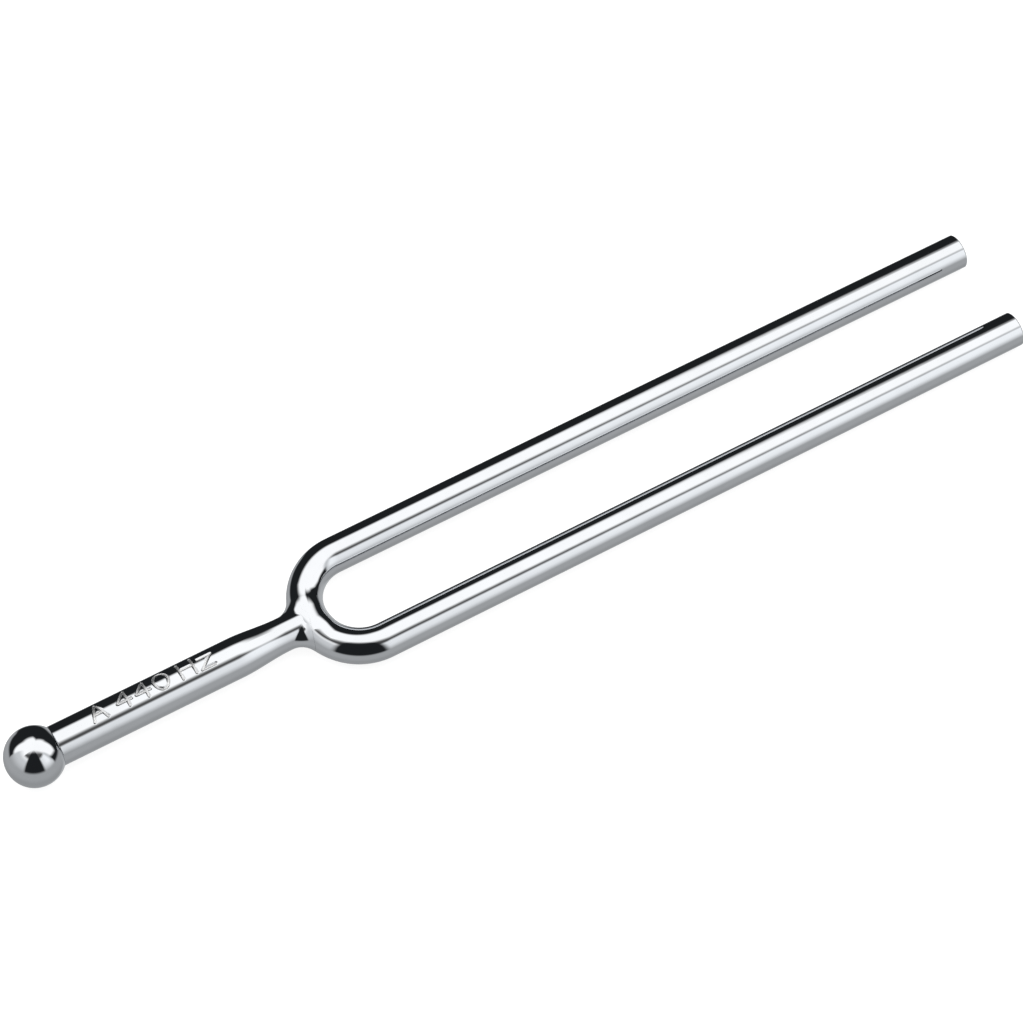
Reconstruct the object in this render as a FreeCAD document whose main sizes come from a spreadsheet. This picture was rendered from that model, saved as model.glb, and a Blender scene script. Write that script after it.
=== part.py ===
import FreeCAD, Part
import Sketcher
import math
import os

# A 440 Hz tuning fork of round nickel-plated steel bar with a turned stem and a ball foot.
#
# Frame, in millimetres: the origin is the outermost point of the ball foot, on the fork's
# axis. +X runs along the stem towards the prong tips, both prongs lie in the XY plane with
# the left one on the +Y side, and +Z stands square to that plane, on the side that carries
# the pitch mark.

# ---------------------------------------------------------------- driving dimensions

DIMENSIONS = {
    "prong_diameter": 4.0,  # the bar that is bent into the U
    "bend_radius": 5.9,  # centre line of the bend, half the prong spacing
    "bend_centre": 42.6,  # from the foot to the centre of the bend
    "fork_length": 124.0,  # from the foot to the prong tips
    "flex_gap": 0.03,  # clearance left at the plane where a prong flexes
    "tip_chamfer": 0.15,  # broken edge round each tip
    "ball_diameter": 6.7,
    "ball_bore_floor": 2.0,  # from the foot to the bottom of the blind bore
    "bore_diameter": 2.8,  # blind bore in the ball, and the spigot pressed into it
    "spigot_start": 2.2,  # from the foot to the end of the spigot
    "spigot_chamfer": 0.3,
    "stem_diameter": 4.55,
    "neck_diameter": 3.8,
    "taper_start": 27.4,  # from the foot to where the stem begins to thin
    "taper_end": 33.2,  # from the foot to where the neck begins
    "weld_radius": 2.4,  # hollow of the weld bead, ground and polished
    "mark_centre": 17.6,  # from the foot to the middle of the pitch mark
    "mark_turn": 14.0,  # degrees round the stem, from its top towards the left prong
    "mark_height": 2.6,
    "letter_width": 1.6,
    "letter_gap": 0.65,
    "word_gap": 1.45,
    "stroke_width": 0.4,
    "mark_depth": 0.12,
}

CUT_MARGIN = 1.0  # how far cutting tools run past the material, so no skin is left

# ---------------------------------------------------------------- document helpers

doc = FreeCAD.newDocument("tuning_fork")
dims = doc.addObject("Spreadsheet::Sheet", "dims")
for row, (name, value) in enumerate(DIMENSIONS.items(), start=1):
    dims.set(f"A{row}", name)
    dims.set(f"B{row}", str(value))
    dims.setAlias(f"B{row}", name)
doc.recompute()


def size(name):
    """The current value of one cell of the sheet."""
    return float(dims.get(name))


def bind(thing, **expressions):
    """Ties properties to the sheet. A double underscore stands for the dot in a path."""
    for name, expression in expressions.items():
        thing.setExpression(name.replace("__", "."), expression)


def primitive(kind, label, **expressions):
    """A Part primitive whose sizes and place come from the sheet."""
    thing = doc.addObject(kind, label)
    thing.Label = label
    bind(thing, **expressions)
    return thing


def point_along_x(thing):
    """Turns a cylinder or cone so that it grows along +X instead of +Z."""
    thing.Placement = FreeCAD.Placement(
        thing.Placement.Base, FreeCAD.Rotation(FreeCAD.Vector(0, 1, 0), 90)
    )


def x_cylinder(label, radius, start, length):
    """A cylinder on the fork's axis."""
    thing = primitive("Part::Cylinder", label, Radius=radius, Height=length)
    point_along_x(thing)
    bind(thing, Placement__Base__x=start)
    return thing


def boolean(kind, label, base, tool):
    thing = doc.addObject(kind, label)
    thing.Label = label
    thing.Base = base
    thing.Tool = tool
    return thing


def body_named(label):
    body = doc.addObject("PartDesign::Body", label)
    body.Label = label
    return body


def origin_feature(body, role):
    """One of a body's own origin planes or axes."""
    return next(item for item in body.Origin.OriginFeatures if item.Role == role)


def sketch_on(body, name, role):
    sketch = body.newObject("Sketcher::SketchObject", name)
    sketch.AttachmentSupport = (origin_feature(body, role), [""])
    sketch.MapMode = "FlatFace"
    return sketch


def constrain(sketch, label, constraint, expression):
    """Adds one dimension to a sketch and ties it to the sheet."""
    index = sketch.addConstraint(constraint)
    sketch.renameConstraint(index, label)
    sketch.setExpression(f"Constraints.{label}", expression)


def closed_outline(sketch, corners):
    """Straight sides through corners, each a pair of sheet expressions from the origin."""
    count = len(corners)
    lines = []
    for index in range(count):
        here = FreeCAD.Vector(index + 1, index % 2 + 1, 0)
        there = FreeCAD.Vector((index + 1) % count + 1, (index + 1) % 2 + 1, 0)
        lines.append(sketch.addGeometry(Part.LineSegment(here, there), False))
    for index, line in enumerate(lines):
        after = lines[(index + 1) % count]
        sketch.addConstraint(Sketcher.Constraint("Coincident", line, 2, after, 1))
    for index, (across, up) in enumerate(corners):
        place = Sketcher.Constraint("DistanceX", -1, 1, lines[index], 1, index + 1)
        constrain(sketch, f"across_{index}", place, across)
        if up == "0":
            sketch.addConstraint(Sketcher.Constraint("PointOnObject", lines[index], 1, -1))
        else:
            height = Sketcher.Constraint("DistanceY", -1, 1, lines[index], 1, 1.0)
            constrain(sketch, f"up_{index}", height, up)


def revolve(body, sketch, axis_role, angle):
    feature = body.newObject("PartDesign::Revolution", f"{body.Label}_turned")
    feature.Profile = sketch
    feature.ReferenceAxis = (origin_feature(body, axis_role), [""])
    feature.Angle = angle
    return feature


# ---------------------------------------------------------------- ball foot

# The stem's shoulder meets the ball where the ball is as wide as the stem.
SEAT = (
    "dims.ball_diameter / 2"
    " + sqrt((dims.ball_diameter / 2)^2 - (dims.stem_diameter / 2)^2)"
)


def make_ball_foot():
    """A turned ball, bored blind from the stem side, with a flat seat for the shoulder."""
    ball = primitive(
        "Part::Sphere",
        "ball_blank",
        Radius="dims.ball_diameter / 2",
        Placement__Base__x="dims.ball_diameter / 2",
    )
    seat = x_cylinder("seat_cut", "dims.ball_diameter", SEAT, "dims.ball_diameter")
    bore = x_cylinder(
        "bore_cut", "dims.bore_diameter / 2", "dims.ball_bore_floor", "dims.ball_diameter"
    )
    faced = boolean("Part::Cut", "ball_faced", ball, seat)
    return boolean("Part::Cut", "ball_foot", faced, bore)


# ---------------------------------------------------------------- stem and its mark


def make_stem_blank():
    """The turned stem: spigot, shoulder, grip, taper and neck, long enough to be coped."""
    body = body_named("stem_blank")
    outline = sketch_on(body, "stem_outline", "XY_Plane")
    spigot = "dims.bore_diameter / 2"
    grip = "dims.stem_diameter / 2"
    neck = "dims.neck_diameter / 2"
    cope_end = "dims.bend_centre - dims.bend_radius"
    closed_outline(
        outline,
        [
            ("dims.spigot_start", "0"),
            ("dims.spigot_start", f"{spigot} - dims.spigot_chamfer"),
            ("dims.spigot_start + dims.spigot_chamfer", spigot),
            (SEAT, spigot),
            (SEAT, grip),
            ("dims.taper_start", grip),
            ("dims.taper_end", neck),
            (cope_end, neck),
            (cope_end, "0"),
        ],
    )
    revolve(body, outline, "X_Axis", 360)
    return body


def stroke(start, end, width, low, high):
    """A straight stroke of the mark, as an upright bar with square ends."""
    run = FreeCAD.Vector(end[0] - start[0], end[1] - start[1], 0)
    bar = Part.makeBox(run.Length, width, high - low, FreeCAD.Vector(0, -width / 2, low))
    turn = math.degrees(math.atan2(run.y, run.x))
    bar.Placement = FreeCAD.Placement(
        FreeCAD.Vector(start[0], start[1], 0), FreeCAD.Rotation(FreeCAD.Vector(0, 0, 1), turn)
    )
    return bar


def letter_a(left, half, wide, width, low, high):
    """A: two slanting legs and a bar."""
    top = (left + wide / 2, half)
    legs = [
        stroke((left, -half), top, width, low, high),
        stroke((left + wide, -half), top, width, low, high),
    ]
    bar_height = -half * 0.3
    inset = wide * 0.17
    bar = stroke(
        (left + inset, bar_height), (left + wide - inset, bar_height), width, low, high
    )
    return legs + [bar]


def digit_four(left, half, wide, width, low, high):
    """4: a slanting stroke, a bar and an upright."""
    post = left + wide * 0.72
    bar_height = -half * 0.35
    return [
        stroke((post, half), (left, bar_height), width, low, high),
        stroke((left - width / 2, bar_height), (left + wide, bar_height), width, low, high),
        stroke((post, half + width / 4), (post, -half), width, low, high),
    ]


def digit_zero(left, half, wide, width, low, high):
    """0: an oval ring."""
    centre = FreeCAD.Vector(left + wide / 2, 0, low)
    rings = []
    for grow in (width / 2, -width / 2):
        oval = Part.Ellipse(
            centre + FreeCAD.Vector(0, half + grow, 0),
            centre + FreeCAD.Vector(wide / 2 + grow, 0, 0),
            centre,
        )
        face = Part.Face(Part.Wire(oval.toShape()))
        rings.append(face.extrude(FreeCAD.Vector(0, 0, high - low)))
    return [rings[0].cut(rings[1])]


def letter_h(left, half, wide, width, low, high):
    """H: two uprights and a bar."""
    return [
        stroke((left, -half), (left, half), width, low, high),
        stroke((left + wide, -half), (left + wide, half), width, low, high),
        stroke((left, 0), (left + wide, 0), width, low, high),
    ]


def letter_z(left, half, wide, width, low, high):
    """z: two bars and a slanting stroke, lower than the capitals."""
    top = half * 0.3
    return [
        stroke((left, top), (left + wide, top), width, low, high),
        stroke((left + wide - width / 2, top), (left + width / 2, -half), width, low, high),
        stroke((left, -half), (left + wide, -half), width, low, high),
    ]


def make_mark_strokes():
    """The pitch mark, A 440 Hz, as upright bars that pass through the top of the stem."""
    wide, gap = size("letter_width"), size("letter_gap")
    width, half = size("stroke_width"), size("mark_height") / 2 - size("stroke_width") / 2
    low, high = 0.0, size("stem_diameter")
    space = size("word_gap")
    letters = [
        (letter_a, space),
        (digit_four, gap),
        (digit_four, gap),
        (digit_zero, space),
        (letter_h, gap),
        (letter_z, 0.0),
    ]
    length = sum(wide + after for letter, after in letters)
    left = size("mark_centre") - length / 2
    bars = []
    for letter, after in letters:
        bars += letter(left, half, wide, width, low, high)
        left += wide + after
    strokes = doc.addObject("Part::Feature", "mark_strokes")
    strokes.Label = "mark_strokes"
    strokes.Shape = bars[0].multiFuse(bars[1:])
    lean = FreeCAD.Rotation(FreeCAD.Vector(1, 0, 0), -size("mark_turn"))
    strokes.Placement = FreeCAD.Placement(FreeCAD.Vector(0, 0, 0), lean)
    return strokes


def make_stem(yoke):
    """The stem with its pitch mark stamped in and its end coped to the bend."""
    outer = x_cylinder(
        "mark_outer",
        f"dims.stem_diameter / 2 + {CUT_MARGIN}",
        "dims.mark_centre - dims.stem_diameter * 2",
        "dims.stem_diameter * 4",
    )
    inner = x_cylinder(
        "mark_floor",
        "dims.stem_diameter / 2 - dims.mark_depth",
        "dims.mark_centre - dims.stem_diameter * 2",
        "dims.stem_diameter * 4",
    )
    skin = boolean("Part::Cut", "mark_skin", outer, inner)
    mark = boolean("Part::Common", "mark_cutter", make_mark_strokes(), skin)
    stamped = boolean("Part::Cut", "stem_stamped", make_stem_blank(), mark)
    return boolean("Part::Cut", "stem", stamped, yoke)


# ---------------------------------------------------------------- bend and prongs


def make_yoke():
    """The U-bend of the bar: half a ring, from one prong root to the other."""
    body = body_named("yoke")
    section = sketch_on(body, "yoke_section", "YZ_Plane")
    circle = Part.Circle(FreeCAD.Vector(6, 0, 0), FreeCAD.Vector(0, 0, 1), 2)
    bar = section.addGeometry(circle, False)
    section.addConstraint(Sketcher.Constraint("PointOnObject", bar, 3, -1))
    offset = Sketcher.Constraint("DistanceX", -1, 1, bar, 3, 6.0)
    constrain(section, "offset", offset, "dims.bend_radius")
    width = Sketcher.Constraint("Diameter", bar, 4.0)
    constrain(section, "bar_width", width, "dims.prong_diameter")
    revolve(body, section, "Z_Axis", 180)
    bind(body, Placement__Base__x="dims.bend_centre")
    return body


def make_prong(label, side):
    """One straight prong, from just past the bend to its chamfered tip."""
    body = body_named(label)
    section = sketch_on(body, f"{label}_section", "YZ_Plane")
    circle = Part.Circle(FreeCAD.Vector(0, 0, 0), FreeCAD.Vector(0, 0, 1), 2)
    bar = section.addGeometry(circle, False)
    section.addConstraint(Sketcher.Constraint("Coincident", bar, 3, -1, 1))
    width = Sketcher.Constraint("Diameter", bar, 4.0)
    constrain(section, "bar_width", width, "dims.prong_diameter")
    pad = body.newObject("PartDesign::Pad", f"{label}_bar")
    pad.Profile = section
    bind(pad, Length="dims.fork_length - dims.bend_centre - dims.flex_gap")
    doc.recompute()
    reach = size("fork_length") - size("bend_centre") - size("flex_gap")
    tip = next(
        index
        for index, edge in enumerate(pad.Shape.Edges, start=1)
        if all(abs(corner.X - reach) < 1e-6 for corner in edge.Vertexes)
    )
    chamfer = body.newObject("PartDesign::Chamfer", f"{label}_chamfer")
    chamfer.Base = (pad, [f"Edge{tip}"])
    bind(chamfer, Size="dims.tip_chamfer")
    bind(
        body,
        Placement__Base__x="dims.bend_centre + dims.flex_gap",
        Placement__Base__y=f"{side} * dims.bend_radius",
    )
    return body


# ---------------------------------------------------------------- weld


def make_weld(yoke):
    """The polished weld bead that fills the corner between the neck and the bend."""
    neck = x_cylinder(
        "weld_neck",
        "dims.neck_diameter / 2",
        "dims.taper_end",
        "dims.bend_centre - dims.bend_radius - dims.taper_end",
    )
    joined = doc.addObject("Part::Fuse", "weld_corner")
    joined.Label = "weld_corner"
    joined.Base = neck
    joined.Tool = yoke
    doc.recompute()
    outside = size("bend_centre") - size("bend_radius") - size("prong_diameter") / 2
    filled = doc.addObject("Part::Fillet", "weld_fillet")
    filled.Label = "weld_fillet"
    filled.Base = joined
    filled.Edges = [
        (index, size("weld_radius"), size("weld_radius"))
        for index, edge in enumerate(joined.Shape.Edges, start=1)
        if is_saddle(edge, outside)
    ]
    return boolean("Part::Cut", "stem_weld", filled, joined)


def is_saddle(edge, outside):
    """Whether an edge is part of the line where the neck runs into the bend."""
    box = edge.optimalBoundingBox(True, False)
    widest = max(abs(box.YMin), abs(box.YMax))
    return box.XMin > outside and widest <= size("prong_diameter") / 2


# ---------------------------------------------------------------- build, check and write

yoke = make_yoke()
doc.recompute()
stem = make_stem(yoke)
parts = [
    make_ball_foot(),
    stem,
    make_weld(yoke),
    yoke,
    make_prong("left_prong", 1),
    make_prong("right_prong", -1),
]
doc.recompute()

for item in doc.Objects:
    bad = {"Invalid", "Error"} & set(item.State)
    if bad:
        raise RuntimeError(f"{item.Label}: {sorted(bad)}")

os.makedirs("parts", exist_ok=True)
for part in parts:
    shape = part.Shape
    if shape.isNull() or not shape.isValid():
        raise RuntimeError(f"{part.Label}: shape is null or not valid")
    box = shape.BoundBox
    print(
        f"{part.Label}: {len(shape.Solids)} solid, {shape.Volume:.2f} mm3,"
        f" x {box.XMin:.3f}..{box.XMax:.3f} y {box.YMin:.3f}..{box.YMax:.3f}"
        f" z {box.ZMin:.3f}..{box.ZMax:.3f}"
    )
    shape.exportStep(f"parts/{part.Label}.step")
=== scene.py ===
import math

import bpy
import numpy as np
from mathutils import Matrix, Vector


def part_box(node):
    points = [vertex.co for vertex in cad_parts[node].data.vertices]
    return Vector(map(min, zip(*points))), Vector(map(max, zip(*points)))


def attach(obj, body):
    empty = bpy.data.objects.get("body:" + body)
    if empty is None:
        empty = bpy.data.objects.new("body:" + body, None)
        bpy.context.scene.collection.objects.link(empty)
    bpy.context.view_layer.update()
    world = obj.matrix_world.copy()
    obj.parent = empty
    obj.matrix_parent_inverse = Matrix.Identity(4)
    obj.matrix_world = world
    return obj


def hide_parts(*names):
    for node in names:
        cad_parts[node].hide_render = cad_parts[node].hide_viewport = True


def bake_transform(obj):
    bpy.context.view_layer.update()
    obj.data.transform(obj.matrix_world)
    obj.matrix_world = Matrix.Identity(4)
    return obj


# The looks of a polished tuning fork: every visible piece is a fine mesh that stands for its
# CAD nodes, in metres, in the row frame. The origin is the outermost point of the ball foot,
# +X runs to the prong tips, the left prong is on the +Y side and +Z carries the pitch mark.

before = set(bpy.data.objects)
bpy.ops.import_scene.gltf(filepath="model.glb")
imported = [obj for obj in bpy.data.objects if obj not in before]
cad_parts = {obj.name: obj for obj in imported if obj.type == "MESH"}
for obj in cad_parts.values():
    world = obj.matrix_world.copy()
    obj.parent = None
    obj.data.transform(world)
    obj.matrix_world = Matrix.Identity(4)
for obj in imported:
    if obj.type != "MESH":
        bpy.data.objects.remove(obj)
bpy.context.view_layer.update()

# ---------------------------------------------------------------- sizes

MM = 0.001

ball_low, ball_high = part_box("ball_foot")
stem_low, stem_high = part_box("stem")
yoke_low, yoke_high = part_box("yoke")
prong_low, prong_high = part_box("left_prong")

BALL_RADIUS = (ball_high.y - ball_low.y) / 2
STEM_RADIUS = (stem_high.y - stem_low.y) / 2
BAR_RADIUS = (prong_high.z - prong_low.z) / 2
BEND_RADIUS = (prong_high.y + prong_low.y) / 2
BEND_CENTRE = yoke_high.x
TIP = prong_high.x
SPIGOT_START = stem_low.x

SPIGOT_RADIUS = 1.4 * MM
SPIGOT_CHAMFER = 0.3 * MM
BORE_FLOOR = 2.0 * MM
NECK_RADIUS = 1.9 * MM
TAPER_START = 27.4 * MM
TAPER_END = 33.2 * MM
WELD_RADIUS = 2.4 * MM
WELD_LIP = 0.012 * MM  # how far the weld's edge stands proud, so that no surfaces coincide
TIP_CHAMFER = 0.15 * MM
EDGE_ROUND = 0.08 * MM  # softening that polishing leaves on turned edges
TIP_ROUND = 0.03 * MM
CORE_MARGIN = 0.1 * MM  # how far the bend's core stays clear of its two cut ends

MARK_TURN = math.radians(14)  # from the stem's top towards the left prong
MARK_CENTRE = 17.6 * MM
MARK_HEIGHT = 2.6 * MM
MARK_HALF_LENGTH = 7.6 * MM
LETTER_WIDTH = 1.6 * MM
LETTER_GAP = 0.65 * MM
WORD_GAP = 1.45 * MM
STROKE_WIDTH = 0.4 * MM
STROKE_BRIM = 0.05 * MM  # how far the polished brim of a stroke reaches beyond it
MARK_DEPTH = 0.12 * MM
MARK_SECTOR = math.radians(38)  # how far round from the mark's middle the mesh is fine

CROWN_RISE = 0.2 * MM  # weld metal left on the bend's crown, above and below
CROWN_FLAT = math.radians(8)
CROWN_END = math.radians(34)

SEAT = BALL_RADIUS + math.sqrt(BALL_RADIUS**2 - STEM_RADIUS**2)

SAME_POINT = 1e-6 * MM  # points nearer than this are one point of a mesh
TURN_STEPS, FINE_STEPS = 144, 216  # steps round a prong, and round the bend and the weld

# ---------------------------------------------------------------- mesh building


def unit(vectors):
    """Vectors scaled to length 1 along the last axis."""
    return vectors / np.maximum(np.linalg.norm(vectors, axis=-1, keepdims=True), 1e-30)


def points_of(*columns):
    """Coordinates, spread to one shape, as points."""
    return np.stack(np.broadcast_arrays(*columns), axis=-1)


def around(count):
    """Angles all the way round, the last one the same as the first."""
    angles = np.linspace(0, 2 * math.pi, count + 1)
    angles[-1] = 0.0
    return angles


def sheet(point_at, us, vs):
    """A grid of points, with exact normals, from a surface function of two parameters."""
    u, v = np.meshgrid(us, vs, indexing="ij")
    step = 1e-6
    along_u = point_at(u + step, v) - point_at(u - step, v)
    along_v = point_at(u, v + step) - point_at(u, v - step)
    return point_at(u, v), unit(np.cross(along_u, along_v))


def build_piece(name, sheets, inside):
    """One closed mesh from sheets whose borders meet, each corner with its own exact normal.

    inside is a function that gives, for points, a point of the piece's core beneath each."""
    points, faces, corner_normals, known = [], [], [], {}
    for grid, normals in sheets:
        rows, columns = grid.shape[:2]
        flat = grid.reshape(-1, 3)
        outward = np.sum((flat - inside(flat)) * normals.reshape(-1, 3), axis=1)
        if outward.sum() < 0:
            normals = -normals
        flat_normals = normals.reshape(-1, 3)
        index = []
        for key, point in zip(map(tuple, np.round(flat / SAME_POINT).astype(np.int64)), flat):
            if key not in known:
                known[key] = len(points)
                points.append(point)
            index.append(known[key])
        middle = ((rows - 1) // 2) * columns + (columns - 1) // 2
        side = np.cross(flat[middle + columns] - flat[middle], flat[middle + 1] - flat[middle])
        turn = 1 if side @ flat_normals[middle] > 0 else -1
        for row in range(rows - 1):
            for column in range(columns - 1):
                here = row * columns + column
                corners = [here, here + columns, here + columns + 1, here + 1][::turn]
                kept = []
                for corner in corners:
                    if index[corner] not in [index[other] for other in kept]:
                        kept.append(corner)
                if len(kept) > 2:
                    faces.append([index[corner] for corner in kept])
                    corner_normals += [flat_normals[corner] for corner in kept]
    mesh = bpy.data.meshes.new(name)
    mesh.from_pydata(points, [], faces)
    mesh.polygons.foreach_set("use_smooth", [True] * len(faces))
    mesh.normals_split_custom_set(corner_normals)
    thing = bpy.data.objects.new(name, mesh)
    bpy.context.scene.collection.objects.link(thing)
    return thing


def outline(corners, steps=6):
    """Stretches of a turned profile through corners, each (x, radius, rounding).

    The profile runs from the axis at its low end, along the outside, to the axis at its high
    end. A stretch is a list of (x, radius, normal x, normal radius)."""
    places = [np.array(corner[:2]) for corner in corners]
    runs = [unit(there - here) for here, there in zip(places, places[1:])]
    cuts = [0.0] * len(corners)
    stretches = []
    for index in range(1, len(corners) - 1):
        before, after = runs[index - 1], runs[index]
        cuts[index] = corners[index][2] * math.tan(math.acos(np.clip(before @ after, -1, 1)) / 2)
    for index, run in enumerate(runs):
        start = places[index] + run * cuts[index]
        end = places[index + 1] - run * cuts[index + 1]
        side = np.array([-run[1], run[0]])
        stretches.append([(*start, *side), (*end, *side)])
        if cuts[index + 1] > 0:
            turn = runs[index + 1]
            bend = math.atan2(run[0] * turn[1] - run[1] * turn[0], run @ turn)
            bulge = -math.copysign(corners[index + 1][2], bend)
            centre = end - side * bulge
            rounded = []
            for angle in np.linspace(0, bend, steps + 1):
                spun = np.array(
                    [
                        side[0] * math.cos(angle) - side[1] * math.sin(angle),
                        side[0] * math.sin(angle) + side[1] * math.cos(angle),
                    ]
                )
                rounded.append((*(centre + spun * bulge), *spun))
            stretches.append(rounded)
    return stretches


def turned(stretches, angles):
    """Sheets of a body turned about the X axis, one for each stretch of its profile."""
    sheets = []
    for stretch in stretches:
        x, r, nx, nr = (np.array(column)[:, None] for column in zip(*stretch))
        grid = points_of(x, r * np.cos(angles), r * np.sin(angles))
        normals = unit(points_of(nx, nr * np.cos(angles), nr * np.sin(angles)))
        sheets.append((grid, normals))
    return sheets


def divided(stretch, steps):
    """A straight stretch with more points along it."""
    first, last = np.array(stretch[0]), np.array(stretch[-1])
    return [tuple(first + (last - first) * share) for share in np.linspace(0, 1, steps + 1)]


def moved(sheets, offset):
    """The same sheets elsewhere."""
    return [(grid + np.array(offset), normals) for grid, normals in sheets]


# ---------------------------------------------------------------- ball foot


def make_ball():
    """The ball: a sphere with a flat seat and a blind bore for the spigot."""
    seat_angle = math.acos((SEAT - BALL_RADIUS) / BALL_RADIUS)
    dome = [
        (
            BALL_RADIUS + BALL_RADIUS * math.cos(angle),
            BALL_RADIUS * math.sin(angle),
            math.cos(angle),
            math.sin(angle),
        )
        for angle in np.linspace(math.pi, seat_angle, 97)
    ]
    inner = outline(
        [
            (SEAT, STEM_RADIUS, 0),
            (SEAT, SPIGOT_RADIUS, 0),
            (BORE_FLOOR, SPIGOT_RADIUS, 0),
            (BORE_FLOOR, 0, 0),
        ]
    )
    return build_piece("ball", turned([dome] + inner, around(160)), ball_core)


def ball_core(points):
    """A ring inside the ball's wall, between its surface and its bore."""
    across = unit(points * np.array([0.0, 1.0, 1.0]))
    return across * (BALL_RADIUS + SPIGOT_RADIUS) / 2 + np.array([BALL_RADIUS, 0.0, 0.0])


# ---------------------------------------------------------------- pitch mark


def segment_distance(x, y, start, end):
    """Distance from points to a straight stroke's centre line."""
    run = np.subtract(end, start)
    share = ((x - start[0]) * run[0] + (y - start[1]) * run[1]) / (run @ run)
    share = np.clip(share, 0, 1)
    return np.hypot(x - start[0] - share * run[0], y - start[1] - share * run[1])


def oval_distance(x, y, middle, wide, half):
    """Distance from points to an oval's line, near the line."""
    across, up = (x - middle) / (wide / 2), y / half
    level = np.hypot(across, up)
    slope = np.hypot(across / (wide / 2), up / half)
    return np.abs(level - 1) * level / np.maximum(slope, 1e-9)


def letter_strokes(letter, left, half):
    """The strokes of one letter of the mark, as pairs of end points."""
    wide = LETTER_WIDTH
    right, post, low_top = left + wide, left + wide * 0.72, half * 0.3
    bar_a, bar_4 = -half * 0.3, -half * 0.35
    strokes = {
        "A": [
            ((left, -half), (left + wide / 2, half)),
            ((left + wide / 2, half), (right, -half)),
            ((left + wide * 0.17, bar_a), (right - wide * 0.17, bar_a)),
        ],
        "4": [
            ((post, half), (left, bar_4)),
            ((left, bar_4), (right, bar_4)),
            ((post, half), (post, -half)),
        ],
        "H": [
            ((left, -half), (left, half)),
            ((right, -half), (right, half)),
            ((left, 0), (right, 0)),
        ],
        "z": [
            ((left, low_top), (right, low_top)),
            ((right, low_top), (left, -half)),
            ((left, -half), (right, -half)),
        ],
    }
    return strokes[letter]


def groove(x):
    """A stroke's depth across it, 1 in its middle to 0 at its edge: a V with blunt corners."""
    x, blunt = np.clip(x, 0, 1), 0.25
    rounded = 2 * blunt * (1 - blunt)
    wall = 1 - (x - blunt / 2) / (1 - blunt)
    outer = np.where(x > 1 - blunt, (1 - x) ** 2 / rounded, wall)
    return np.where(x < blunt, 1 - x**2 / rounded, outer)


def mark_depth(x, y):
    """How deep the mark A 440 Hz is stamped, at places x along and y across its middle line."""
    half = MARK_HEIGHT / 2 - STROKE_WIDTH / 2
    letters = [("A", WORD_GAP), ("4", LETTER_GAP), ("4", LETTER_GAP), ("0", WORD_GAP)]
    letters += [("H", LETTER_GAP), ("z", 0)]
    left = MARK_CENTRE - sum(LETTER_WIDTH + gap for letter, gap in letters) / 2
    nearest = np.full(np.broadcast(x, y).shape, 1.0)
    for letter, gap in letters:
        if letter == "0":
            middle = left + LETTER_WIDTH / 2
            nearest = np.minimum(nearest, oval_distance(x, y, middle, LETTER_WIDTH, half))
        else:
            for start, end in letter_strokes(letter, left, half):
                nearest = np.minimum(nearest, segment_distance(x, y, start, end))
        left += LETTER_WIDTH + gap
    return MARK_DEPTH * groove(nearest / (STROKE_WIDTH / 2 + STROKE_BRIM))


# ---------------------------------------------------------------- stem


def stem_radius(x):
    """The stem's radius along its length, without the mark."""
    share = np.clip((x - TAPER_START) / (TAPER_END - TAPER_START), 0, 1)
    return STEM_RADIUS + (NECK_RADIUS - STEM_RADIUS) * share**2 * (3 - 2 * share)


def bend_front(y, z):
    """Where a line along X, at y and z, first meets the bend's bar."""
    reach = BEND_RADIUS + np.sqrt(BAR_RADIUS**2 - z**2)
    return BEND_CENTRE - np.sqrt(reach**2 - y**2)


def make_stem():
    """The stem: spigot, shoulder, stamped grip, taper and neck, coped to the bend."""
    shoulder = SEAT + EDGE_ROUND
    mark_angle = math.pi / 2 - MARK_TURN

    def side_at(x, angle):
        depth = mark_depth(x, stem_radius(x) * (mark_angle - angle))
        radius = stem_radius(x) - depth
        return points_of(x, radius * np.cos(angle), radius * np.sin(angle))

    def cope_at(share, angle):
        y, z = share * NECK_RADIUS * np.cos(angle), share * NECK_RADIUS * np.sin(angle)
        return points_of(bend_front(y, z), y, z)

    def neck_at(share, angle):
        y, z = NECK_RADIUS * np.cos(angle), NECK_RADIUS * np.sin(angle)
        return points_of(TAPER_END + share * (bend_front(y, z) - TAPER_END), y, z)

    sector_start, sector_end = mark_angle - MARK_SECTOR, mark_angle + MARK_SECTOR
    fine = np.linspace(sector_start, sector_end, 87)[:-1]
    angles = np.concatenate([fine, np.linspace(sector_end, sector_start + 2 * math.pi, 121)])
    angles[-1] = angles[0]
    mark_start, mark_end = MARK_CENTRE - MARK_HALF_LENGTH, MARK_CENTRE + MARK_HALF_LENGTH
    along = np.concatenate(
        [
            np.linspace(shoulder, mark_start, 12)[:-1],
            np.linspace(mark_start, mark_end, 401)[:-1],
            np.linspace(mark_end, TAPER_END, 40),
        ]
    )
    hidden = outline(
        [
            (SPIGOT_START, 0, 0),
            (SPIGOT_START, SPIGOT_RADIUS - SPIGOT_CHAMFER, 0),
            (SPIGOT_START + SPIGOT_CHAMFER, SPIGOT_RADIUS, 0),
            (SEAT, SPIGOT_RADIUS, 0),
            (SEAT, STEM_RADIUS, EDGE_ROUND),
            (TAPER_START, STEM_RADIUS, 0),
        ]
    )
    sheets = turned(hidden[:-1], angles)
    sheets.append(sheet(side_at, along, angles))
    sheets.append(sheet(neck_at, np.linspace(0, 1, 14), angles))
    sheets.append(sheet(cope_at, np.linspace(1, 0, 6), angles))
    return build_piece("stem_shank", sheets, stem_core)


def stem_core(points):
    """Points of the stem's axis, kept clear of its two ends."""
    inner = np.clip(points[:, 0], SPIGOT_START + SPIGOT_RADIUS, TAPER_END)
    return points_of(inner, 0.0, 0.0)


# ---------------------------------------------------------------- weld


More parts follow.
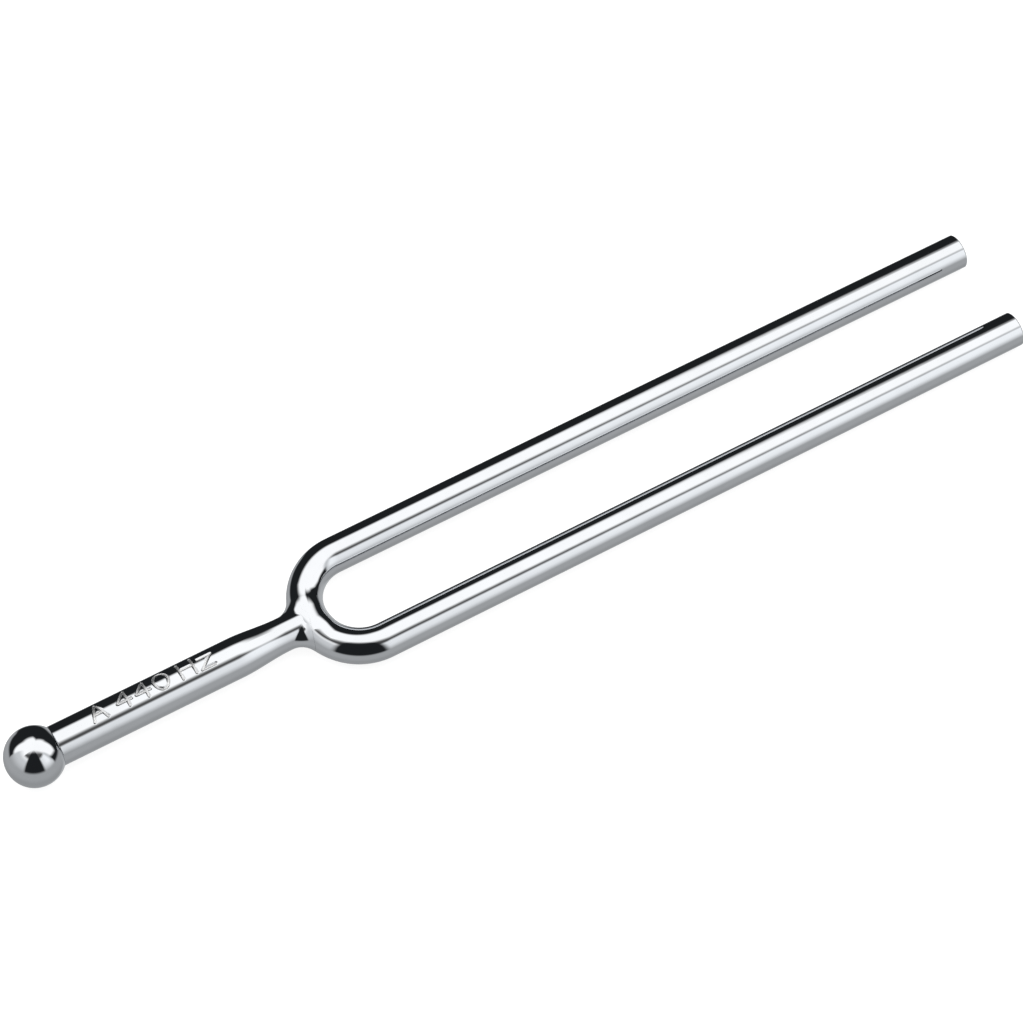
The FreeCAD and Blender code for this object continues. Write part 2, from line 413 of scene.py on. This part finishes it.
def weld_centre(angle):
    """Centre of the ball that rolls in the corner of neck and bend, at an angle about X."""
    reach = NECK_RADIUS + WELD_RADIUS
    y, z = reach * np.cos(angle), reach * np.sin(angle)
    q = BEND_RADIUS + np.sqrt((BAR_RADIUS + WELD_RADIUS) ** 2 - z**2)
    return points_of(BEND_CENTRE - np.sqrt(q**2 - y**2), y, z)


def bar_line(points):
    """For each point, the nearest point of the bend's centre line."""
    across = points - np.array([BEND_CENTRE, 0.0, 0.0])
    across[..., 2] = 0.0
    return unit(across) * BEND_RADIUS + np.array([BEND_CENTRE, 0.0, 0.0])


def weld_surface(angle, share):
    """The hollow of the weld, from the neck at share 0 to the bend at share 1."""
    centre = weld_centre(angle)
    down = points_of(0.0 * angle, -np.cos(angle), -np.sin(angle))
    ahead = unit(bar_line(centre) - centre)
    swing = np.arccos(np.clip(np.sum(down * ahead, axis=-1), -1, 1))[..., None]
    share = np.asarray(share)[..., None]
    mixed = np.sin((1 - share) * swing) * down + np.sin(share * swing) * ahead
    return centre + WELD_RADIUS * mixed / np.sin(swing)


def on_bar(turn, tilt):
    """The bend's surface: turn goes round the bend from its crown, tilt round the bar."""
    reach = BEND_RADIUS + BAR_RADIUS * np.cos(tilt)
    return points_of(
        BEND_CENTRE - reach * np.cos(turn), reach * np.sin(turn), BAR_RADIUS * np.sin(tilt)
    )


def bar_angles(points):
    """The turn and tilt of points of the bend's surface."""
    turn = np.arctan2(points[..., 1], BEND_CENTRE - points[..., 0])
    reach = np.hypot(points[..., 1], BEND_CENTRE - points[..., 0]) - BEND_RADIUS
    return turn, np.arctan2(points[..., 2], reach)


def crown_rise(turn, tilt):
    """How far the weld metal left on the bend's crown stands above the bar."""
    share = np.clip((CROWN_END - np.abs(turn)) / (CROWN_END - CROWN_FLAT), 0, 1)
    swept = np.where(share < 0.5, 2 * share**2, 1 - 2 * (1 - share) ** 2)
    return CROWN_RISE * swept * (1 - np.cos(tilt) ** 4)


def crowned_bar(turn, tilt):
    """The bend's surface with the weld metal on its crown."""
    middle = BEND_RADIUS * points_of(-np.cos(turn), np.sin(turn), 0.0)
    middle = middle + np.array([BEND_CENTRE, 0.0, 0.0])
    rise = crown_rise(turn, tilt)
    return middle + (on_bar(turn, tilt) - middle) * (1 + rise / BAR_RADIUS)[..., None]


def make_weld():
    """The polished weld bead round the neck: its hollow, and its faces on neck and bend."""
    angles = around(FINE_STEPS)

    def hollow(angle, share):
        plain = weld_surface(angle, share)
        rise = (crown_rise(*bar_angles(plain)) + WELD_LIP) * share**2 * (3 - 2 * share)
        return plain + unit(plain - bar_line(plain)) * rise[..., None]

    def corner(angle):
        y, z = NECK_RADIUS * np.cos(angle), NECK_RADIUS * np.sin(angle)
        return points_of(bend_front(y, z), y, z)

    def neck_face(angle, share):
        edge = weld_surface(angle, np.zeros_like(angle))
        return edge + share[..., None] * (corner(angle) - edge)

    def bend_face(angle, share):
        start_turn, start_tilt = bar_angles(weld_surface(angle, np.ones_like(angle)))
        end_turn, end_tilt = bar_angles(corner(angle))
        turn = start_turn + share * (end_turn - start_turn)
        tilt = start_tilt + share * (end_tilt - start_tilt)
        place = crowned_bar(turn, tilt)
        return place + unit(place - bar_line(place)) * (WELD_LIP * (1 - share))[..., None]

    def core(points):
        angle = np.arctan2(points[:, 2], points[:, 1])
        edge = corner(angle)
        return edge + 0.1 * (weld_surface(angle, np.full_like(angle, 0.5)) - edge)

    sheets = [
        sheet(hollow, angles, np.linspace(0, 1, 49)),
        sheet(neck_face, angles, np.linspace(0, 1, 5)),
        sheet(bend_face, angles, np.linspace(0, 1, 5)),
    ]
    return build_piece("weld_bead", sheets, core)


# ---------------------------------------------------------------- bend and prongs


def make_bend():
    """The U-bend of the bar, from one prong root to the other."""
    tilts = around(FINE_STEPS)
    crown = np.linspace(-CROWN_END, CROWN_END, 151)
    arm = np.linspace(CROWN_END, math.pi / 2, 46)[1:]
    sheets = [sheet(crowned_bar, np.concatenate([-arm[::-1], crown, arm]), tilts)]
    for side in (-1, 1):
        disc = turned([[(BEND_CENTRE, BAR_RADIUS, 1, 0), (BEND_CENTRE, 0, 1, 0)]], tilts)
        if side < 0:
            disc = [(grid * np.array([1, -1, 1]), normals) for grid, normals in disc]
        sheets += moved(disc, (0, side * BEND_RADIUS, 0))
    return build_piece("bend", sheets, bend_core)


def bend_core(points):
    """The bend's centre line, kept a little short of the two cut ends."""
    back = np.array([CORE_MARGIN, 0.0, 0.0])
    line = bar_line(points - back)
    return np.where(points[:, :1] > BEND_CENTRE - SAME_POINT, line - back, line)


def make_prong(name, side):
    """One prong: a straight bar with a chamfered, polished tip."""
    profile = outline(
        [
            (BEND_CENTRE, 0, 0),
            (BEND_CENTRE, BAR_RADIUS, 0),
            (TIP - TIP_CHAMFER, BAR_RADIUS, TIP_ROUND),
            (TIP, BAR_RADIUS - TIP_CHAMFER, TIP_ROUND),
            (TIP, 0, 0),
        ]
    )
    profile[1] = divided(profile[1], 160)
    profile[-1] = divided(profile[-1], 6)
    sheets = moved(turned(profile, around(TURN_STEPS)), (0, side * BEND_RADIUS, 0))

    def core(points):
        inner = np.clip(points[:, 0], BEND_CENTRE + BAR_RADIUS, TIP - BAR_RADIUS)
        return points_of(inner, side * BEND_RADIUS, 0.0)

    return build_piece(name, sheets, core)


# ---------------------------------------------------------------- node graphs


class Graph:
    """Short ways to write a node graph as arithmetic."""

    def __init__(self, tree):
        self.tree = tree
        self.tree.nodes.clear()

    def node(self, kind, **settings):
        made = self.tree.nodes.new(kind)
        for name, value in settings.items():
            setattr(made, name, value)
        return made

    def feed(self, socket, value):
        if isinstance(value, bpy.types.NodeSocket):
            self.tree.links.new(value, socket)
        else:
            socket.default_value = value

    def math(self, operation, *values):
        made = self.node("ShaderNodeMath", operation=operation)
        for socket, value in zip(made.inputs, values):
            self.feed(socket, value)
        return made.outputs[0]

    def ramp(self, value, low, high):
        """0 below low, 1 above high, smooth between them."""
        made = self.node("ShaderNodeMapRange", interpolation_type="SMOOTHSTEP")
        self.feed(made.inputs["Value"], value)
        self.feed(made.inputs["From Min"], low)
        self.feed(made.inputs["From Max"], high)
        return made.outputs["Result"]

    def between(self, value, low, high, soft):
        """1 between low and high, with soft edges of that half width."""
        rise = self.ramp(value, low - soft, low + soft)
        fall = self.ramp(value, high - soft, high + soft)
        return self.math("MULTIPLY", rise, self.math("SUBTRACT", 1.0, fall))

    def blend(self, share, below, above):
        """One colour or number over another, by share."""
        made = self.node("ShaderNodeMix", data_type="RGBA")
        self.feed(made.inputs[0], share)
        self.feed(made.inputs[6], below)
        self.feed(made.inputs[7], above)
        return made.outputs[2]


def grey(level, warmth=0.0):
    """A near-grey colour of that strength, a little blue where warmth is negative."""
    return (level * (1 + warmth), level, level * (1 - warmth), 1.0)


# ---------------------------------------------------------------- material


def stamped(graph, place):
    """1 on the sunken strokes of the pitch mark, 0 on the stem's own surface."""
    split = graph.node("ShaderNodeSeparateXYZ")
    graph.feed(split.inputs[0], place)
    x, y, z = split.outputs
    square = graph.math("ADD", graph.math("MULTIPLY", y, y), graph.math("MULTIPLY", z, z))
    depth = graph.math("SUBTRACT", STEM_RADIUS, graph.math("SQRT", square))
    reach, soft = MARK_HALF_LENGTH - 0.2 * MM, 0.1 * MM
    near = graph.between(x, MARK_CENTRE - reach, MARK_CENTRE + reach, soft)
    return graph.math("MULTIPLY", near, graph.ramp(depth, MARK_DEPTH / 6, MARK_DEPTH / 2))


def make_nickel(name, marked):
    """Bright nickel plate: a mirror with faint drawing lines, ripple and hazy patches.

    Where it is marked, the strokes are matt, as the stamp left them."""
    material = bpy.data.materials.new(name)
    material.use_nodes = True
    graph = Graph(material.node_tree)
    place = graph.node("ShaderNodeTexCoord").outputs["Object"]
    output = graph.node("ShaderNodeOutputMaterial")
    shader = graph.node("ShaderNodeBsdfPrincipled")
    shader.inputs["Metallic"].default_value = 1.0
    graph.feed(output.inputs["Surface"], shader.outputs[0])

    haze = graph.node("ShaderNodeTexNoise")
    graph.feed(haze.inputs["Vector"], place)
    haze.inputs["Scale"].default_value = 260.0
    haze.inputs["Detail"].default_value = 4.0
    cloud = graph.ramp(haze.outputs["Fac"], 0.35, 0.75)
    tone = graph.blend(cloud, (0.785, 0.8, 0.82, 1), (0.755, 0.77, 0.79, 1))

    drawn = graph.node("ShaderNodeMapping")
    drawn.inputs["Scale"].default_value = (0.03, 1.0, 1.0)
    graph.feed(drawn.inputs["Vector"], place)
    lines = graph.node("ShaderNodeTexNoise")
    graph.feed(lines.inputs["Vector"], drawn.outputs[0])
    lines.inputs["Scale"].default_value = 9000.0
    lines.inputs["Detail"].default_value = 2.0
    rough = graph.math("MULTIPLY_ADD", lines.outputs["Fac"], 0.03, 0.015)
    rough = graph.math("MULTIPLY_ADD", cloud, 0.015, rough)
    if marked:
        matt = stamped(graph, place)
        tone = graph.blend(matt, tone, (0.95, 0.95, 0.95, 1))
        rough = graph.math("MULTIPLY_ADD", matt, 0.42, rough)
    graph.feed(shader.inputs["Base Color"], tone)
    graph.feed(shader.inputs["Roughness"], rough)

    ripple = graph.node("ShaderNodeTexNoise")
    graph.feed(ripple.inputs["Vector"], place)
    ripple.inputs["Scale"].default_value = 330.0
    ripple.inputs["Detail"].default_value = 1.0
    wave = graph.node("ShaderNodeBump")
    wave.inputs["Strength"].default_value = 1.0
    wave.inputs["Distance"].default_value = 0.01 * MM
    graph.feed(wave.inputs["Height"], ripple.outputs["Fac"])
    graph.feed(shader.inputs["Normal"], wave.outputs[0])
    return material


# ---------------------------------------------------------------- studio


def make_world():
    """A photographer's tent: a white box above and behind, black round the camera, a table below
    painted grey as shade.

    Its parts stand at fixed headings (azimuths, 0 towards the prong tips) and elevations, all
    in degrees, and they are seen only as reflections."""
    world = bpy.data.worlds.new("studio")
    bpy.context.scene.world = world
    world.use_nodes = True
    graph = Graph(world.node_tree)
    direction = graph.node("ShaderNodeTexCoord").outputs["Generated"]
    split = graph.node("ShaderNodeSeparateXYZ")
    graph.feed(split.inputs[0], direction)
    x, y, z = split.outputs
    degrees = 180 / math.pi
    azimuth = graph.math("MULTIPLY", graph.math("ARCTAN2", y, x), degrees)
    elevation = graph.math("MULTIPLY", graph.math("ARCSINE", z), degrees)

    def tent(top, heading, left_slope, right_slope):
        """The height of an edge that falls away on both sides of its top at that heading."""
        off = graph.math("SUBTRACT", azimuth, heading)
        left = graph.math("MULTIPLY_ADD", off, left_slope, top)
        return graph.math("MINIMUM", left, graph.math("MULTIPLY_ADD", off, -right_slope, top))

    def below(value, low, high):
        return graph.math("SUBTRACT", 1.0, graph.ramp(value, low, high))

    def above(tilt, heading):
        """Degrees above a plane through the fork that rises by tilt towards a heading."""
        heading, tilt = math.radians(heading), math.radians(tilt)
        made = graph.node("ShaderNodeVectorMath", operation="DOT_PRODUCT")
        graph.feed(made.inputs[0], direction)
        made.inputs[1].default_value = (
            -math.sin(tilt) * math.cos(heading),
            -math.sin(tilt) * math.sin(heading),
            math.cos(tilt),
        )
        return graph.math("MULTIPLY", graph.math("ARCSINE", made.outputs["Value"]), degrees)

    white, black = grey(1.22), grey(0.016, -0.1)
    card_low = grey(0.42, -0.02)

    # what stands on the camera's side ends below a plane that leans just past the zenith
    fade = below(above(80, -115), -10, 10)

    # the black surround of the camera
    front = graph.between(azimuth, -151, -83, 5)
    black_front = graph.math("MULTIPLY", front, fade)

    # the front rail of the white box, a dark band that fades out upwards and to the right
    rail = graph.between(azimuth, -250, -42, 14)
    rail = graph.math("MAXIMUM", rail, graph.ramp(azimuth, 155, 170))
    lift = graph.math("MAXIMUM", graph.math("ADD", azimuth, 72.0), 0.0)
    height = graph.math("MULTIPLY_ADD", lift, -0.12, elevation)
    rail = graph.math("MULTIPLY", rail, graph.ramp(height, 45, 57))
    rail = graph.math("MULTIPLY", rail, fade)

    # two light cards, one each side of the camera, darker towards their feet
    right_card = graph.between(azimuth, -92, -38, 5)
    right_card = graph.math("MULTIPLY", right_card, graph.between(elevation, -40, 56, 5))
    card_top = graph.blend(graph.ramp(azimuth, -84, -58), grey(0.9, -0.02), grey(1.12, -0.02))
    card_tone = graph.blend(graph.ramp(elevation, -12, 30), card_low, card_top)
    colour = graph.blend(right_card, white, card_tone)
    left_card = graph.ramp(graph.math("ABSOLUTE", azimuth), 144, 154)
    left_card = graph.math("MULTIPLY", left_card, graph.between(elevation, -40, 45, 14))
    left_tone = graph.blend(graph.ramp(elevation, -12, 30), card_low, grey(0.7, -0.02))
    colour = graph.blend(left_card, colour, left_tone)
    colour = graph.blend(rail, colour, grey(0.09))

    # a faint dark post at the right card's outer edge
    post = graph.between(azimuth, -50, -38, 6)
    post = graph.math("MULTIPLY", post, graph.between(elevation, 14, 54, 8))
    colour = graph.blend(graph.math("MULTIPLY", post, 0.4), colour, grey(0.06))
    colour = graph.blend(black_front, colour, black)

    # the black backdrop behind the fork, high in its middle part, with a peak on either side
    behind = graph.between(azimuth, -44, 150, 4)
    middle = graph.math("SUBTRACT", graph.ramp(azimuth, -22, 22), graph.ramp(azimuth, 105, 148))
    brink = graph.math("MULTIPLY_ADD", middle, 27.0, 14.0)
    left_flank = graph.math("MULTIPLY_ADD", graph.ramp(azimuth, -22, 40), 38.0, 14.0)
    peak = graph.math("MINIMUM", tent(52, 53, 0.4, 0.8), left_flank)
    peaks = graph.math("MAXIMUM", peak, tent(28, -45, 0.45, 0.45))
    over = graph.math("SUBTRACT", elevation, graph.math("MAXIMUM", peaks, brink))
    backdrop = graph.math("MULTIPLY", behind, below(over, -8, 8))
    colour = graph.blend(backdrop, colour, black)

    # the white table in painted shade, grey and darker further down, with painted light beyond
    # the prong tips; its far edge lies much lower behind the fork
    shaded_table_tone = graph.blend(graph.ramp(elevation, -60, -25), grey(0.35, -0.02), card_low)
    lit = graph.math("MULTIPLY", graph.between(azimuth, -15, 48, 10), below(elevation, -30, -12))
    shaded_table_tone = graph.blend(lit, shaded_table_tone, grey(0.5, -0.02))
    edge = graph.math("MULTIPLY", graph.ramp(azimuth, -45, 45), -8.0)
    deep = graph.math("MULTIPLY", below(azimuth, 80, 96), 20.0)
    deep = graph.math("MULTIPLY_ADD", below(azimuth, 94, 144), 12.0, deep)
    deep = graph.math("MULTIPLY", graph.ramp(azimuth, 32, 72), deep)
    edge = graph.math("SUBTRACT", edge, deep)
    table = below(graph.math("SUBTRACT", elevation, edge), -9, 5)
    # the table's painted shade and painted light go over the colour here
    colour = graph.blend(table, colour, shaded_table_tone)

    # straight at the studio, a plain white background
    seen = graph.node("ShaderNodeLightPath").outputs["Is Camera Ray"]
    colour = graph.blend(seen, colour, grey(1.0))
    light = graph.node("ShaderNodeBackground")
    graph.feed(light.inputs["Color"], colour)
    output = graph.node("ShaderNodeOutputWorld")
    graph.feed(output.inputs["Surface"], light.outputs[0])


def make_floor():
    """A white light table: the ball and the prong tips rest on it, so the fork leans a little."""
    contact = Vector((TIP - TIP_CHAMFER, 0, -BAR_RADIUS))
    to_ball = Vector((BALL_RADIUS, 0, 0)) - contact
    slope = math.asin(BALL_RADIUS / to_ball.length) - math.atan2(to_ball.z, -to_ball.x)
    mesh = bpy.data.meshes.new("table")
    reach, turns = 3.0, 96
    rim = [
        (reach * math.cos(angle), reach * math.sin(angle), 0)
        for angle in np.linspace(0, 2 * math.pi, turns, endpoint=False)
    ]
    mesh.from_pydata(rim, [], [list(range(turns))])
    floor = bpy.data.objects.new("table", mesh)
    floor.location = contact
    floor.rotation_euler = (0, -slope, 0)
    floor.visible_glossy = False
    material = bpy.data.materials.new("table_paint")
    material.use_nodes = True
    graph = Graph(material.node_tree)
    output = graph.node("ShaderNodeOutputMaterial")
    glow = graph.node("ShaderNodeEmission")
    glow.inputs["Strength"].default_value = 0.9
    paint = graph.node("ShaderNodeBsdfDiffuse")
    paint.inputs["Color"].default_value = (0.2, 0.2, 0.2, 1)
    both = graph.node("ShaderNodeAddShader")
    graph.feed(both.inputs[0], glow.outputs[0])
    graph.feed(both.inputs[1], paint.outputs[0])
    graph.feed(output.inputs["Surface"], both.outputs[0])
    mesh.materials.append(material)
    bpy.context.scene.collection.objects.link(floor)


def make_light():
    """One large soft lamp above the fork."""
    lamp = bpy.data.lights.new("soft_box", "AREA")
    lamp.shape = "DISK"
    lamp.size = 1.2
    lamp.energy = 14.0
    holder = bpy.data.objects.new("soft_box", lamp)
    holder.location = (0.06, 0.15, 0.9)
    holder.rotation_euler = Vector((0, -0.15, -0.9)).to_track_quat("-Z", "Y").to_euler()
    holder.visible_glossy = False
    bpy.context.scene.collection.objects.link(holder)


def make_camera():
    """A long lens, looking down on the fork from the right of its foot."""
    azimuth, elevation, roll = math.radians(-33.93), math.radians(61.09), math.radians(4.39)
    distance, focal_length = 469.1 * MM, 150.4
    aim = Vector((62.36, 1.14, 0)) * MM
    back = Vector(
        (
            math.sin(azimuth) * math.cos(elevation),
            -math.cos(azimuth) * math.cos(elevation),
            math.sin(elevation),
        )
    )
    level = Vector((math.cos(azimuth), math.sin(azimuth), 0))
    upright = back.cross(level)
    right = level * math.cos(roll) + upright * math.sin(roll)
    up = back.cross(right)
    lens = bpy.data.cameras.new("camera")
    lens.lens = focal_length
    lens.sensor_width = 36
    lens.clip_start = 0.01
    camera = bpy.data.objects.new("camera", lens)
    turn = Matrix((right, up, back)).transposed().to_4x4()
    camera.matrix_world = Matrix.Translation(aim + back * distance) @ turn
    bpy.context.scene.collection.objects.link(camera)
    bpy.context.scene.camera = camera


# ---------------------------------------------------------------- assembly

nickel = make_nickel("polished_nickel", marked=False)
marked_nickel = make_nickel("marked_nickel", marked=True)
ball, stem, weld, bend = make_ball(), make_stem(), make_weld(), make_bend()
left, right = make_prong("prong_left", 1), make_prong("prong_right", -1)
for piece in (ball, stem, weld, bend, left, right):
    piece.data.materials.append(marked_nickel if piece is stem else nickel)
for piece, node in ((ball, "ball_foot"), (stem, "stem"), (weld, "stem_weld"), (bend, "yoke")):
    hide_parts(node)
    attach(piece, "handle")
for piece, body, side in ((left, "left_prong", 1), (right, "right_prong", -1)):
    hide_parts(body)
    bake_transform(piece)

make_world()
make_floor()
make_light()
make_camera()
bpy.context.scene.view_settings.view_transform = "Standard"
